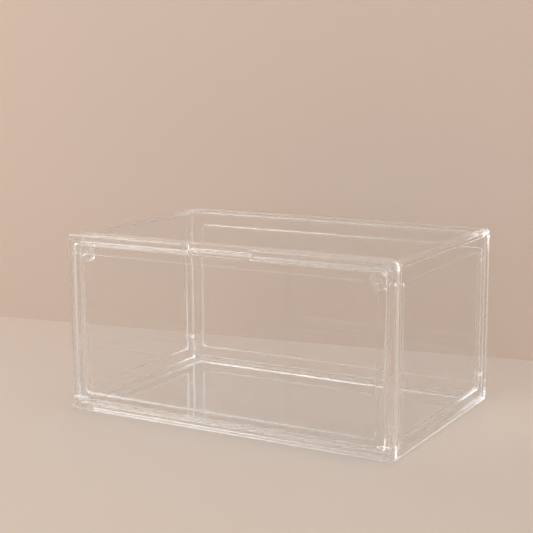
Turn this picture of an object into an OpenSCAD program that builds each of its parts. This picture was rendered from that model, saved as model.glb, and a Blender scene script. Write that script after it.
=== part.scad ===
// Clear storage box with a drop-front door and a lift-off lid.
// Millimetres. The origin is the centre of the footprint on the table, +Z is up and the door faces -Y.
// Six framed panels close the box: base, two sides, back, lid and the front frame that holds the door.

/* [Box] */
// Outer width, left to right
box_w = 350; // [260:1:440]
// Outer depth, front to back
box_d = 230; // [160:1:320]
// Outer height, table to top of lid
box_h = 178; // [130:1:260]
// Radius of the four long edges and of the rear corners
corner_r = 5; // [5:0.5:7]
// Radius that breaks the long edges of lid and base
cap_edge_r = 4.5; // [2:0.25:4.75]
// Thickness of every clear pane
pane_t = 2; // [1.6:0.1:2.4]
// Corner radius of every window
window_r = 3; // [2:0.5:5]
// Radius on the rim of every window
lip_r = 1.2; // [0.6:0.1:1.6]
// Gap left at the joints between neighbouring panels
seam = 0.15; // [0.1:0.05:0.3]

/* [Lid and base] */
// Height of the lid's rail
lid_h = 6; // [5.5:0.25:8]
// Width of the lid's rail, seen from above
lid_rail = 12; // [10:0.5:16]
// Depth of the lid's window below the rail
lid_recess = 2.5; // [2:0.1:3]
// Height of the base's rail
base_h = 6; // [5.5:0.25:8]
// Depth of the floor pane above the underside of the rail
base_recess = 2; // [1.5:0.1:2.5]
// Height of the stacking ring, which lifts the box off the table
stack_h = 1.5; // [1:0.25:2]
// Width of the stacking ring
stack_w = 3.4; // [3:0.1:5]
// Room round the stacking ring when it stands in a lid below
stack_gap = 0.6; // [0.3:0.1:1]
// Height of the locating ribs inside lid and base
rib_h = 2.5; // [2:0.25:4]
// Thickness of the locating ribs
rib_t = 1.6; // [1.2:0.1:2]
// Room between a rib or collar and the wall beside it
rib_gap = 0.3; // [0.2:0.05:0.5]

/* [Side and back panels] */
// Thickness of the rails round a wall panel
rail_t = 6; // [5:0.25:8]
// Width of the front, rear and bottom rails of a wall panel
wall_rail = 12; // [10:0.5:16]
// Width of the top rail of a wall panel
wall_head = 14.5; // [10:0.5:18]
// Depth of a wall's window below its outer face
wall_recess = 2; // [1.5:0.1:2.5]
// Radius that breaks the outer edges of a side panel
wall_edge_r = 1.2; // [0.8:0.1:2]
// Depth of the back panel's side flanges
back_d = 13.5; // [11:0.5:20]

/* [Front frame] */
// Depth of the frame's bezel
frame_d = 6; // [6:0.25:9]
// Radius on the front edge of the bezel
frame_edge_r = 3; // [1.5:0.25:4]
// Thickness of the collar that reaches back inside the panels
collar_t = 2.7; // [2:0.1:4]
// Step from the opening back to the collar's inner face
collar_step = 0.3; // [0.2:0.1:0.6]

/* [Front door] */
// Thickness of the door's rail
door_t = 6; // [5.5:0.25:6.5]
// Width of the door's rail
door_rail = 9.5; // [8:0.5:14]
// Depth of the door's window below its front
door_recess = 2.5; // [2:0.1:3]
// How far the door stands back from the front of the bezel
door_set = 0.5; // [0.3:0.1:1]
// Running gap all round the door
door_gap = 0.6; // [0.5:0.05:1]
// Radius on the door's outer edges, which lets its foot turn in the opening
door_edge_r = 2; // [1.8:0.1:2.4]
// Width of the finger pull
pull_w = 67; // [40:1:100]
// Height that the pull stands above the door's rail
pull_rise = 4.6; // [3:0.1:5.2]
// Height that the pull's pad reaches down over the door's rail
pull_drop = 2.4; // [1:0.1:4]
// Corner radius of the pull
pull_r = 2.5; // [1.5:0.25:3]
// Thickness of the pull, from the bezel's front
pull_t = 4.5; // [3.5:0.25:5]
// Radius on the front edge of the pull
pull_edge_r = 0.8; // [0.4:0.1:1.2]
// Depth of the finger scoop above the pull
scoop_d = 3; // [2:0.25:4]

/* [Hinge and catch] */
// Diameter of a hinge pin
pin_d = 3; // [2.5:0.25:3.5]
// Chamfer at the ends of a hinge pin
pin_chamfer = 0.4; // [0.2:0.1:0.6]
// Length of a hinge pin
pin_l = 13; // [10:0.5:14]
// Length of a hinge pin inside the frame
pin_seat = 6; // [4:0.5:7]
// Radial room of a pin in the door
pin_play = 0.06; // [0.03:0.01:0.1]
// Radial room of a pressed pin or stem
press_play = 0.01; // [0.01:0.01:0.03]
// Diameter of a catch button
button_d = 15; // [12:0.5:16]
// Thickness of a catch button
button_t = 1.5; // [1:0.1:2]
// Radius on the face of a catch button
button_edge_r = 0.6; // [0.3:0.1:0.8]
// Diameter of a catch button's stem
stem_d = 4; // [3:0.5:6]
// Length of the stem that shows behind the ear
stem_out = 1; // [0.5:0.25:2]
// Gap between the shut door and a catch button
button_gap = 0.3; // [0.2:0.05:0.5]
// Thickness of the frame's corner ears
ear_t = 2; // [1.5:0.25:2.5]
// Width of an ear beyond its button
ear_margin = 1; // [0.5:0.25:1.5]

/* [Pegs and snaps] */
// Diameter of the joining pegs
peg_d = 3; // [2:0.25:3.5]
// Length of the pegs that run front to back
peg_l = 5; // [4:0.5:8]
// Length of the pegs that stand in the base
foot_peg_l = 3; // [2:0.25:3.5]
// Radial room of a peg in its socket
peg_play = 0.15; // [0.1:0.05:0.25]
// Height of the pegs between back and side panels, from each end of the panel
peg_inset = 24; // [16:1:40]
// Length of a snap tab on the collar
snap_l = 12; // [8:1:20]
// Width of a snap tab
snap_w = 5; // [4:0.25:6]
// Height that a snap tab stands out
snap_out = 1; // [0.6:0.1:1.3]
// Room round a snap tab in its pocket
snap_play = 0.25; // [0.15:0.05:0.4]
// Height of a snap tab's middle, from each end of the side panel
snap_inset = 15; // [12:0.5:30]

/* [Hidden] */
$fn = 48;
clear_tint = [0.86, 0.91, 0.93, 0.35];
soft_tint = [0.90, 0.92, 0.92, 0.55];

// Planes of the box
front_y = -box_d / 2;
back_y = box_d / 2;
frame_back_y = front_y + frame_d;
wall_in_x = box_w / 2 - rail_t;
back_in_y = back_y - rail_t;
back_front_y = back_y - back_d;
base_top_z = stack_h + base_h;
lid_under_z = box_h - lid_h;

// Door opening in the front frame
bezel_w = rail_t + rib_gap + collar_t;
opening_w = box_w - 2 * bezel_w;
opening_low_z = base_top_z + rib_gap + collar_t;
opening_top_z = lid_under_z - rib_gap - collar_t;
opening_h = opening_top_z - opening_low_z;
opening_mid_z = (opening_top_z + opening_low_z) / 2;
opening_r = door_gap + door_t / 2;
collar_x = wall_in_x - rib_gap;
collar_d = lid_rail - rib_gap - rib_t;
collar_back_y = frame_back_y + collar_d;
body_mid_z = (stack_h + box_h) / 2;

// Door and the line that it turns on
door_w = opening_w - 2 * door_gap;
door_h = opening_h - 2 * door_gap;
door_front_y = front_y + door_set;
door_back_y = door_front_y + door_t;
door_top_z = opening_top_z - door_gap;
hinge_y = door_front_y + door_t / 2;
hinge_z = opening_low_z + door_gap + door_t / 2;
pin_out_x = opening_w / 2 + pin_seat;
pull_size = [pull_w, pull_rise + pull_drop];
pull_mid_z = door_top_z + (pull_rise - pull_drop) / 2;

// Catch buttons, behind the upper corners of the door's window
button_x = door_w / 2 - door_rail;
button_z = door_top_z - door_rail;
button_front_y = door_back_y + button_gap;
button_back_y = button_front_y + button_t;
ear_front_y = button_back_y + seam;

// Walls of the lid and base plates
plate_front_y = frame_back_y + seam;
lid_window = [box_w - 2 * lid_rail, back_y - frame_back_y - 2 * lid_rail];
base_rail = lid_rail + stack_gap + stack_w;
base_window = [box_w - 2 * base_rail, back_y - frame_back_y - 2 * base_rail];
window_mid_y = (back_y + frame_back_y) / 2;

// Walls of the side panels
wall_low_z = base_top_z + seam;
wall_top_z = lid_under_z - seam;
wall_h = wall_top_z - wall_low_z;
wall_mid_z = (wall_top_z + wall_low_z) / 2;
side_front_y = frame_back_y + seam;
side_back_y = back_front_y - seam;
side_l = side_back_y - side_front_y;
side_mid_y = (side_back_y + side_front_y) / 2;
peg_x = box_w / 2 - rail_t / 2;
snap_y = frame_back_y + collar_d / 2;
rim_w = lip_r + 1;
overlap = 0.5;

// Rounded rectangle, centred, from squares and circles
module rounded_rect(size, r) {
    square([size.x - 2 * r, size.y], center = true);
    square([size.x, size.y - 2 * r], center = true);
    for (sx = [-1, 1], sy = [-1, 1])
        translate([sx * (size.x / 2 - r), sy * (size.y / 2 - r)]) circle(r);
}

module quarter_disc(r) {
    intersection() {
        circle(r);
        square(r);
    }
}

// Section of an outer edge, w wide and t thick, rounded by r at its far upper corner
module edge_section(w, t, r) {
    square([w - r, t]);
    square([w, t - r]);
    translate([w - r, t - r]) quarter_disc(r);
}

// Section of an outer edge rounded at both far corners
module bullnose_section(w, t, r) {
    square([w - r, t]);
    translate([0, r]) square([w, t - 2 * r]);
    translate([w - r, t - r]) quarter_disc(r);
    translate([w - r, r]) mirror([0, 1]) quarter_disc(r);
}

// Section of a window's rim from x = near to x = far, rounded by r at its near upper corner
module rim_section(near, far, t, r) {
    translate([far, 0]) mirror([1, 0]) edge_section(far - near, t, r);
}

// One straight run of a section, centred, with the section's x along X and its y up
module straight_run(length) {
    rotate([90, 0, 0]) linear_extrude(length, center = true) children();
}

// Carries a section round a rounded rectangle. The section's x counts outward from the corner axes
module carry_round(size, r) {
    for (turn = [0 : 3]) {
        across = turn % 2 == 0 ? size.x : size.y;
        along = turn % 2 == 0 ? size.y : size.x;
        rotate(90 * turn) translate([across / 2 - r, 0, 0]) {
            straight_run(along - 2 * r) children();
            translate([0, along / 2 - r, 0]) rotate_extrude(angle = 90) children();
        }
    }
}

// Rim of a window whose corners have radius r. The outer face of the panel is at z = t
module window_rim(size, r, t) {
    carry_round(size, r) rim_section(r, r + rim_w, t, lip_r);
}

// Room that a window and its rim take in a panel
module window_hole(size, r) {
    rounded_rect(size + 2 * [rim_w, rim_w], r + rim_w);
}

module window_pane(size, t, recess) {
    translate([0, 0, t - recess - pane_t])
        linear_extrude(pane_t) rounded_rect(size + [rim_w, rim_w], window_r + rim_w / 2);
}

// Flat ring round a window of corner radius r, inside outer edges that the children give as a section
module framed_ring(size, t, corner, window, r, shift) {
    carry_round(size, corner) children();
    linear_extrude(t) difference() {
        square(size - 2 * [corner, corner], center = true);
        translate(shift) window_hole(window, r);
    }
    translate(shift) window_rim(window, r, t);
}

// Plate of the lid or base: round at the sides, the back and the rear corners, flat at the front
module cap_plate(h, window, recess) {
    inner_w = box_w - 2 * corner_r;
    rear_y = back_y - corner_r;
    for (side = [0, 1]) mirror([side, 0, 0]) translate([inner_w / 2, 0, 0]) {
        translate([0, (plate_front_y + rear_y) / 2, 0])
            straight_run(rear_y - plate_front_y) edge_section(corner_r, h, cap_edge_r);
        translate([0, rear_y, 0]) rotate_extrude(angle = 90) edge_section(corner_r, h, cap_edge_r);
    }
    translate([0, rear_y, 0]) rotate(90) straight_run(inner_w) edge_section(corner_r, h, cap_edge_r);
    linear_extrude(h) difference() {
        translate([-inner_w / 2, plate_front_y]) square([inner_w, rear_y - plate_front_y]);
        translate([0, window_mid_y]) window_hole(window, window_r);
    }
    translate([0, window_mid_y, 0]) {
        window_rim(window, window_r, h);
        window_pane(window, h, recess);
    }
}

// Locating rib under the lid and on the base, just inside the walls and behind the collar
module locating_rib() {
    low_y = collar_back_y + rib_gap;
    high_y = back_in_y - rib_gap;
    size = [2 * collar_x, high_y - low_y];
    translate([0, (low_y + high_y) / 2, 0]) linear_extrude(rib_h + overlap) difference() {
        rounded_rect(size, window_r);
        rounded_rect(size - 2 * [rib_t, rib_t], window_r - rib_t / 2);
    }
}

module both_sides() {
    for (side = [0, 1]) mirror([side, 0, 0]) children();
}

// Pegs and sockets point along +Z from the face that they stand on
module peg(length) {
    translate([0, 0, -overlap]) cylinder(d = peg_d, h = length + overlap);
}

module socket(length) {
    translate([0, 0, -overlap]) cylinder(d = peg_d + 2 * peg_play, h = length + overlap + peg_play);
}

// Places of the right side panel's feet, pointing down into the base
module at_side_feet() {
    for (y = [side_mid_y - side_l / 4, side_mid_y + side_l / 4])
        translate([peg_x, y, base_top_z]) mirror([0, 0, 1]) children();
}

// Places of the back panel's feet, pointing down into the base
module at_back_feet() {
    for (x = [-box_w / 3, 0, box_w / 3])
        translate([x, back_y - rail_t / 2, base_top_z]) mirror([0, 0, 1]) children();
}

// Places of the pegs from the back panel forward into the right side panel
module at_rear_pegs() {
    for (z = [wall_low_z + peg_inset, wall_top_z - peg_inset])
        translate([peg_x, side_back_y, z]) rotate([90, 0, 0]) children();
}

// Place of the peg from the front frame back into the base, on the right
module at_sill_peg() {
    translate([box_w / 2 - corner_r - peg_d, plate_front_y, stack_h + base_h / 2])
        rotate([-90, 0, 0]) children();
}

// Places of the snap tabs on the right of the collar, pointing outward along +X
module at_snaps() {
    for (z = [wall_low_z + snap_inset, wall_top_z - snap_inset])
        translate([collar_x, snap_y, z]) children();
}

// Snap tab with a ramp at its rear, grown by room on every side
module snap(room) {
    half_w = snap_w / 2 + room;
    reach = snap_out + room;
    ramp_y = half_w / 2;
    linear_extrude(snap_l + 2 * room, center = true)
        polygon([[-overlap, -half_w], [reach, -half_w], [reach, ramp_y], [0, half_w], [-overlap, half_w]]);
}

module base_panel() {
    color(clear_tint) difference() {
        union() {
            translate([0, 0, base_top_z]) mirror([0, 0, 1]) cap_plate(base_h, base_window, base_recess);
            translate([0, 0, base_top_z - overlap]) locating_rib();
            translate([0, window_mid_y, 0]) linear_extrude(stack_h + overlap) difference() {
                rounded_rect(base_window + 2 * [stack_w, stack_w], window_r + stack_w);
                rounded_rect(base_window + 2 * [lip_r, lip_r], window_r + lip_r);
            }
        }
        both_sides() {
            at_side_feet() socket(foot_peg_l);
            at_sill_peg() socket(peg_l);
        }
        at_back_feet() socket(foot_peg_l);
    }
}

// Feet cross the seam under their panel before they reach the base
module foot_peg() {
    translate([0, 0, -seam]) peg(foot_peg_l + seam);
}

module side_panel() {
    window = [side_l - 2 * wall_rail, wall_h - wall_rail - wall_head];
    shift = [0, (wall_rail - wall_head) / 2];
    difference() {
        union() {
            translate([wall_in_x, side_mid_y, wall_mid_z]) rotate([90, 0, 90]) {
                framed_ring([side_l, wall_h], rail_t, window_r, window, window_r, shift)
                    edge_section(window_r, rail_t, wall_edge_r);
                translate(shift) window_pane(window, rail_t, wall_recess);
            }
            at_side_feet() foot_peg();
        }
        at_rear_pegs() socket(peg_l);
        at_snaps() snap(snap_play);
    }
}

module right_side_panel() {
    color(clear_tint) side_panel();
}

module left_side_panel() {
    color(clear_tint) mirror([1, 0, 0]) side_panel();
}

// Rear wall between two round corner posts, whose flanges meet the side panels
module back_panel() {
    inner_w = box_w - 2 * corner_r;
    window = [box_w - 2 * wall_rail, wall_h - wall_rail - wall_head];
    shift = [0, (wall_rail - wall_head) / 2];
    color(clear_tint) {
        translate([0, back_in_y, wall_mid_z]) rotate([90, 0, 180]) {
            linear_extrude(rail_t) difference() {
                square([inner_w, wall_h], center = true);
                translate(shift) window_hole(window, window_r);
            }
            translate(shift) {
                window_rim(window, window_r, rail_t);
                window_pane(window, rail_t, wall_recess);
            }
        }
        both_sides() {
            translate([0, 0, wall_low_z]) linear_extrude(wall_h) {
                translate([wall_in_x, back_front_y]) square([rail_t, back_d - corner_r]);
                translate([wall_in_x, back_in_y]) square([rail_t - corner_r, rail_t]);
                translate([inner_w / 2, back_y - corner_r]) quarter_disc(corner_r);
            }
            at_rear_pegs() translate([0, 0, -seam]) peg(peg_l + seam);
        }
        at_back_feet() foot_peg();
    }
}

module lid() {
    color(clear_tint) {
        translate([0, 0, lid_under_z]) cap_plate(lid_h, lid_window, lid_recess);
        translate([0, 0, lid_under_z - rib_h]) locating_rib();
    }
}

// Outline of the finger pull, grown by room on every side
module pull_outline(room) {
    translate([0, pull_mid_z]) rounded_rect(pull_size + 2 * [room, room], pull_r + room);
}

// Round ear with a square shoulder that ties it to the right upper corner of the collar
module ear_outline() {
    translate([button_x, button_z]) {
        circle(button_d / 2 + ear_margin);
        square([opening_w / 2 - button_x + overlap, opening_top_z - button_z + overlap]);
    }
}

// Finger scoop in the top rail, seen from above, with quarter-round ends
module scoop_outline() {
    square([pull_w - 2 * scoop_d, 2 * scoop_d], center = true);
    for (sx = [-1, 1]) translate([sx * (pull_w / 2 - scoop_d), 0]) circle(scoop_d);
}

// Turns an outline drawn in X and Z into a slab from y = front to y = back
module slab(front, back) {
    translate([0, back, 0]) rotate([90, 0, 0]) linear_extrude(back - front) children();
}

module hinge_bore(play, from_x, to_x) {
    translate([from_x, hinge_y, hinge_z])
        rotate([0, 90, 0]) cylinder(d = pin_d + 2 * play, h = to_x - from_x);
}

module front_frame() {
    outline = [box_w, box_h - stack_h];
    shift = [0, opening_mid_z - body_mid_z];
    opening = [opening_w, opening_h];
    collar = opening + 2 * [collar_t, collar_t];
    color(clear_tint) difference() {
        union() {
            translate([0, frame_back_y, body_mid_z]) rotate([90, 0, 0])
                framed_ring(outline, frame_d, corner_r, opening, opening_r, shift)
                edge_section(corner_r, frame_d, frame_edge_r);
            slab(frame_back_y - overlap, collar_back_y) translate([0, opening_mid_z]) difference() {
                rounded_rect(collar, opening_r);
                rounded_rect(opening + 2 * [collar_step, collar_step], opening_r + collar_step);
            }
            both_sides() {
                slab(ear_front_y, ear_front_y + ear_t) ear_outline();
                at_sill_peg() translate([0, 0, -seam]) peg(peg_l + seam);
                at_snaps() snap(0);
            }
        }
        slab(front_y - overlap, frame_back_y) pull_outline(door_gap);
        translate([0, front_y, pull_mid_z]) linear_extrude(box_h - pull_mid_z + overlap) scoop_outline();
        both_sides() {
            hinge_bore(press_play, opening_w / 2 - overlap, pin_out_x);
            slab(button_front_y, collar_back_y)
                translate([button_x, button_z]) circle(d = stem_d + 2 * press_play);
        }
    }
}

module front_door() {
    size = [door_w, door_h];
    window = size - 2 * [door_rail, door_rail];
    corner = opening_r - door_gap;
    pull_front = door_t + door_set;
    color(clear_tint) difference() {
        union() {
            translate([0, door_back_y, opening_mid_z]) rotate([90, 0, 0]) {
                framed_ring(size, door_t, corner, window, window_r, [0, 0])
                    bullnose_section(corner, door_t, door_edge_r);
                window_pane(window, door_t, door_recess);
                translate([0, pull_mid_z - opening_mid_z, pull_front - pull_t]) {
                    carry_round(pull_size, pull_r) edge_section(pull_r, pull_t, pull_edge_r);
                    linear_extrude(pull_t) square(pull_size - 2 * [pull_r, pull_r], center = true);
                }
            }
        }
        both_sides() hinge_bore(pin_play, pin_out_x - pin_l - overlap, opening_w / 2);
    }
}

// Plain pin with chamfered ends, pressed into the frame and free in the door
module hinge_pin() {
    tip_d = pin_d - 2 * pin_chamfer;
    translate([pin_out_x - pin_l, hinge_y, hinge_z]) rotate([0, 90, 0]) {
        cylinder(d1 = tip_d, d2 = pin_d, h = pin_chamfer);
        translate([0, 0, pin_chamfer]) cylinder(d = pin_d, h = pin_l - 2 * pin_chamfer);
        translate([0, 0, pin_l - pin_chamfer]) cylinder(d1 = pin_d, d2 = tip_d, h = pin_chamfer);
    }
}

module right_hinge_pin() {
    color(clear_tint) hinge_pin();
}

module left_hinge_pin() {
    color(clear_tint) mirror([1, 0, 0]) hinge_pin();
}

// Soft round button that the shut door rests against, with a stem through the frame's ear
module catch_button() {
    stem_l = seam + ear_t + stem_out;
    translate([button_x, button_back_y, button_z]) rotate([90, 0, 0]) {
        rotate_extrude() edge_section(button_d / 2, button_t, button_edge_r);
        translate([0, 0, -stem_l]) cylinder(d = stem_d, h = stem_l + button_t / 2);
    }
}

module right_catch_button() {
    color(soft_tint) catch_button();
}

module left_catch_button() {
    color(soft_tint) mirror([1, 0, 0]) catch_button();
}

base_panel();
left_side_panel();
right_side_panel();
back_panel();
lid();
front_frame();
front_door();
left_hinge_pin();
right_hinge_pin();
left_catch_button();
right_catch_button();
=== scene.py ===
import math

import bpy
from mathutils import Matrix, Vector

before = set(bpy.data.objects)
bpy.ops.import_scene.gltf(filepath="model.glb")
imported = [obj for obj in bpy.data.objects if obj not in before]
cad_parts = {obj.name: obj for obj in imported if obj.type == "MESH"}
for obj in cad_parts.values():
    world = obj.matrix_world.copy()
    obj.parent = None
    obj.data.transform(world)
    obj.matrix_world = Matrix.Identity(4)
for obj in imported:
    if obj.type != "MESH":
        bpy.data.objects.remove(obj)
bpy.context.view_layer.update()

# Camera, from the perspective of the box's straight edges in the photograph. Metres and degrees
CAMERA_PLACE = (0.5897, -1.0565, 0.3542)
CAMERA_YAW = math.radians(-29.84)
CAMERA_PITCH = math.radians(9.94)
CAMERA_ROLL = math.radians(-0.24)
CAMERA_LENS = 84.07

# Clear plastic: what a surface lets through straight on and at grazing angles, and what its shadow keeps
PLASTIC_IOR = 1.49
CLEAR = (0.995, 0.997, 0.998)
EDGE_TINT = (0.89, 0.925, 0.955)
EDGE_BLEND = 0.35
SHADOW_TINT = (0.95, 0.965, 0.975)
POLISHED = (0.01, 0.04)
SATIN = (0.05, 0.12)

# Handling marks in the polish, and the moulding wave, which runs along the height
MARKS_SCALE = 90.0
MARKS_DETAIL = 8.0
MARKS_RANGE = (0.35, 0.75)
WAVE_SCALE = 30.0
WAVE_DETAIL = 10.0
WAVE_STRETCH = (1, 1, 14)
WAVE_STRENGTH = 0.012
WAVE_DEPTH = 0.0004

# Round that breaks every sharp edge, in metres
BREAK = 0.00035

# Turns after which light caught in the plastic goes straight on, and the limits of the renderer
MOST_TURNS = 13
PATH_LIMIT = 32
SURFACE_LIMIT = 28
SHADOW_LIMIT = 40

# Floor and backdrop. The backdrop's foot stands where the wall's does in the photograph
FLOOR_COLOR = (0.52, 0.425, 0.36)
WALL_COLOR = (0.59, 0.455, 0.37)
ROOM_ROUGHNESS = 0.9
FLOOR_HALF = 6.0
WALL_BEHIND = 0.272
WALL_SLANT = 0.157
WALL_HEIGHT = 3.0

# Light: a pale sky, and soft lights with their place, size in metres, power in watts and colour
SKY_COLOR = (0.90, 0.96, 1.0)
SKY_LEVEL = 1.0
LIGHTS = {
    "window_light": ((-1.6, -0.9, 1.5), (1.2, 1.6), 24, (1.0, 0.96, 0.90)),
    "side_light": ((1.7, -1.3, 0.9), (0.5, 1.4), 5, (0.86, 0.93, 1.0)),
    "top_light": ((0.3, 0.2, 2.2), (1.5, 1.0), 12, (1.0, 0.98, 0.95)),
}
LIGHTS_AIM = (0, 0, 0.09)


def node(tree, kind, **inputs):
    """Adds a shader node and sets its named inputs."""
    made = tree.nodes.new(kind)
    for name, value in inputs.items():
        made.inputs[name].default_value = value
    return made


def noise(tree, coords, scale, detail, shift, stretch=(1, 1, 1)):
    """Noise over the object's own coordinates, stretched and shifted."""
    mapping = node(tree, "ShaderNodeMapping", Scale=stretch, Location=(shift, shift, shift))
    tree.links.new(coords, mapping.inputs["Vector"])
    made = node(tree, "ShaderNodeTexNoise", Scale=scale, Detail=detail)
    tree.links.new(mapping.outputs["Vector"], made.inputs["Vector"])
    return made.outputs["Fac"]


def spread(tree, value, taken, given):
    """Maps a value from one range to another."""
    made = tree.nodes.new("ShaderNodeMapRange")
    for name, number in zip(("From Min", "From Max", "To Min", "To Max"), (*taken, *given)):
        made.inputs[name].default_value = number
    tree.links.new(value, made.inputs["Value"])
    return made.outputs["Result"]


def mixed(tree, amount, first, second):
    """Mixes two shaders by an amount from 0, the first, to 1, the second."""
    made = tree.nodes.new("ShaderNodeMixShader")
    for socket, source in zip(made.inputs, (amount, first, second)):
        tree.links.new(source, socket)
    return made.outputs[0]


def mixed_color(tree, amount, first, second):
    """Mixes two colours by an amount from 0, the first, to 1, the second."""
    made = tree.nodes.new("ShaderNodeMix")
    made.data_type = "RGBA"
    colors = [socket for socket in made.inputs if socket.type == "RGBA"]
    for socket, color in zip(colors, (first, second)):
        socket.default_value = (*color, 1)
    tree.links.new(amount, made.inputs["Factor"])
    return next(socket for socket in made.outputs if socket.type == "RGBA")


def show(tree, shader):
    """Makes a shader the surface of its material."""
    tree.links.new(shader, tree.nodes["Material Output"].inputs["Surface"])


def new_material(name):
    """A material with its node tree and its main shader."""
    material = bpy.data.materials.new(name)
    material.use_nodes = True
    return material, material.node_tree, material.node_tree.nodes["Principled BSDF"]


def let_light_through(tree, shader):
    """Light caught in the plastic gets out after many turns, and lamps shine through it, a bit dimmed."""
    path = tree.nodes.new("ShaderNodeLightPath")
    caught = tree.nodes.new("ShaderNodeMath")
    caught.operation = "GREATER_THAN"
    caught.inputs[1].default_value = MOST_TURNS
    tree.links.new(path.outputs["Ray Depth"], caught.inputs[0])
    released = node(tree, "ShaderNodeBsdfTransparent", Color=(1, 1, 1, 1))
    dimmed = node(tree, "ShaderNodeBsdfTransparent", Color=(*SHADOW_TINT, 1))
    seen = mixed(tree, caught.outputs[0], shader.outputs[0], released.outputs[0])
    show(tree, mixed(tree, path.outputs["Is Shadow Ray"], seen, dimmed.outputs[0]))


def clear_plastic(name, shift, rough):
    """Moulded clear plastic: tinted at grazing angles, with fine handling marks and a faint moulding wave."""
    material, tree, shader = new_material(name)
    shader.inputs["IOR"].default_value = PLASTIC_IOR
    shader.inputs["Transmission Weight"].default_value = 1.0
    coords = tree.nodes.new("ShaderNodeTexCoord").outputs["Object"]
    marks = noise(tree, coords, MARKS_SCALE, MARKS_DETAIL, shift)
    tree.links.new(spread(tree, marks, MARKS_RANGE, rough), shader.inputs["Roughness"])
    facing = node(tree, "ShaderNodeLayerWeight", Blend=EDGE_BLEND)
    color = mixed_color(tree, facing.outputs["Facing"], CLEAR, EDGE_TINT)
    tree.links.new(color, shader.inputs["Base Color"])
    wave = noise(tree, coords, WAVE_SCALE, WAVE_DETAIL, shift, WAVE_STRETCH)
    bump = node(tree, "ShaderNodeBump", Strength=WAVE_STRENGTH, Distance=WAVE_DEPTH)
    broken = node(tree, "ShaderNodeBevel", Radius=BREAK)
    tree.links.new(broken.outputs["Normal"], bump.inputs["Normal"])
    tree.links.new(wave, bump.inputs["Height"])
    tree.links.new(bump.outputs["Normal"], shader.inputs["Normal"])
    let_light_through(tree, shader)
    return material


def room_surface(name, color):
    """Matte surface of the floor or the backdrop, clear when it is seen from behind."""
    material, tree, shader = new_material(name)
    shader.inputs["Base Color"].default_value = (*color, 1)
    shader.inputs["Roughness"].default_value = ROOM_ROUGHNESS
    side = tree.nodes.new("ShaderNodeNewGeometry")
    clear = tree.nodes.new("ShaderNodeBsdfTransparent")
    show(tree, mixed(tree, side.outputs["Backfacing"], shader.outputs[0], clear.outputs[0]))
    return material


def stage_sheet(name, corners, color):
    """A flat part of the room."""
    mesh = bpy.data.meshes.new(name)
    mesh.from_pydata(corners, [], [tuple(range(len(corners)))])
    made = bpy.data.objects.new(name, mesh)
    bpy.context.scene.collection.objects.link(made)
    made.data.materials.append(room_surface(name, color))


def soft_light(name, place, size, power, color):
    """A rectangular light aimed at the middle of the box."""
    data = bpy.data.lights.new(name, "AREA")
    data.shape = "RECTANGLE"
    data.size, data.size_y = size
    data.energy = power
    data.color = color
    made = bpy.data.objects.new(name, data)
    made.location = place
    made.rotation_euler = (Vector(LIGHTS_AIM) - Vector(place)).to_track_quat("-Z", "Y").to_euler()
    bpy.context.scene.collection.objects.link(made)


def aimed_camera():
    """The camera at its place, turned by yaw, pitch and roll."""
    data = bpy.data.cameras.new("view")
    data.lens = CAMERA_LENS
    made = bpy.data.objects.new("view", data)
    bpy.context.scene.collection.objects.link(made)
    level = math.cos(CAMERA_PITCH)
    forward = Vector((math.sin(CAMERA_YAW) * level, math.cos(CAMERA_YAW) * level, -math.sin(CAMERA_PITCH)))
    right = Vector((math.cos(CAMERA_YAW), -math.sin(CAMERA_YAW), 0))
    turned = Matrix((right, right.cross(forward), -forward)).transposed().to_4x4()
    rolled = turned @ Matrix.Rotation(CAMERA_ROLL, 4, "Z")
    made.matrix_world = Matrix.Translation(CAMERA_PLACE) @ rolled
    return made


for index, (name, part) in enumerate(sorted(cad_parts.items())):
    part.data.materials.clear()
    part.data.materials.append(clear_plastic(name, index, SATIN if "button" in name else POLISHED))

left_y = WALL_BEHIND - WALL_SLANT * FLOOR_HALF
right_y = WALL_BEHIND + WALL_SLANT * FLOOR_HALF
floor_corners = [(-FLOOR_HALF, -FLOOR_HALF, 0), (FLOOR_HALF, -FLOOR_HALF, 0),
                 (FLOOR_HALF, FLOOR_HALF, 0), (-FLOOR_HALF, FLOOR_HALF, 0)]
wall_corners = [(-FLOOR_HALF, left_y, 0), (FLOOR_HALF, right_y, 0),
                (FLOOR_HALF, right_y, WALL_HEIGHT), (-FLOOR_HALF, left_y, WALL_HEIGHT)]
stage_sheet("floor", floor_corners, FLOOR_COLOR)
stage_sheet("backdrop", wall_corners, WALL_COLOR)

scene = bpy.context.scene
world = bpy.data.worlds.new("soft_room")
world.use_nodes = True
sky = world.node_tree.nodes["Background"]
sky.inputs["Color"].default_value = (*SKY_COLOR, 1)
sky.inputs["Strength"].default_value = SKY_LEVEL
scene.world = world
for name, facts in LIGHTS.items():
    soft_light(name, *facts)

bpy.context.scene.camera = aimed_camera()
scene.view_settings.view_transform = "Standard"
scene.cycles.transparent_max_bounces = SHADOW_LIMIT
scene.cycles.max_bounces = PATH_LIMIT
scene.cycles.transmission_bounces = SURFACE_LIMIT
scene.cycles.glossy_bounces = SURFACE_LIMIT
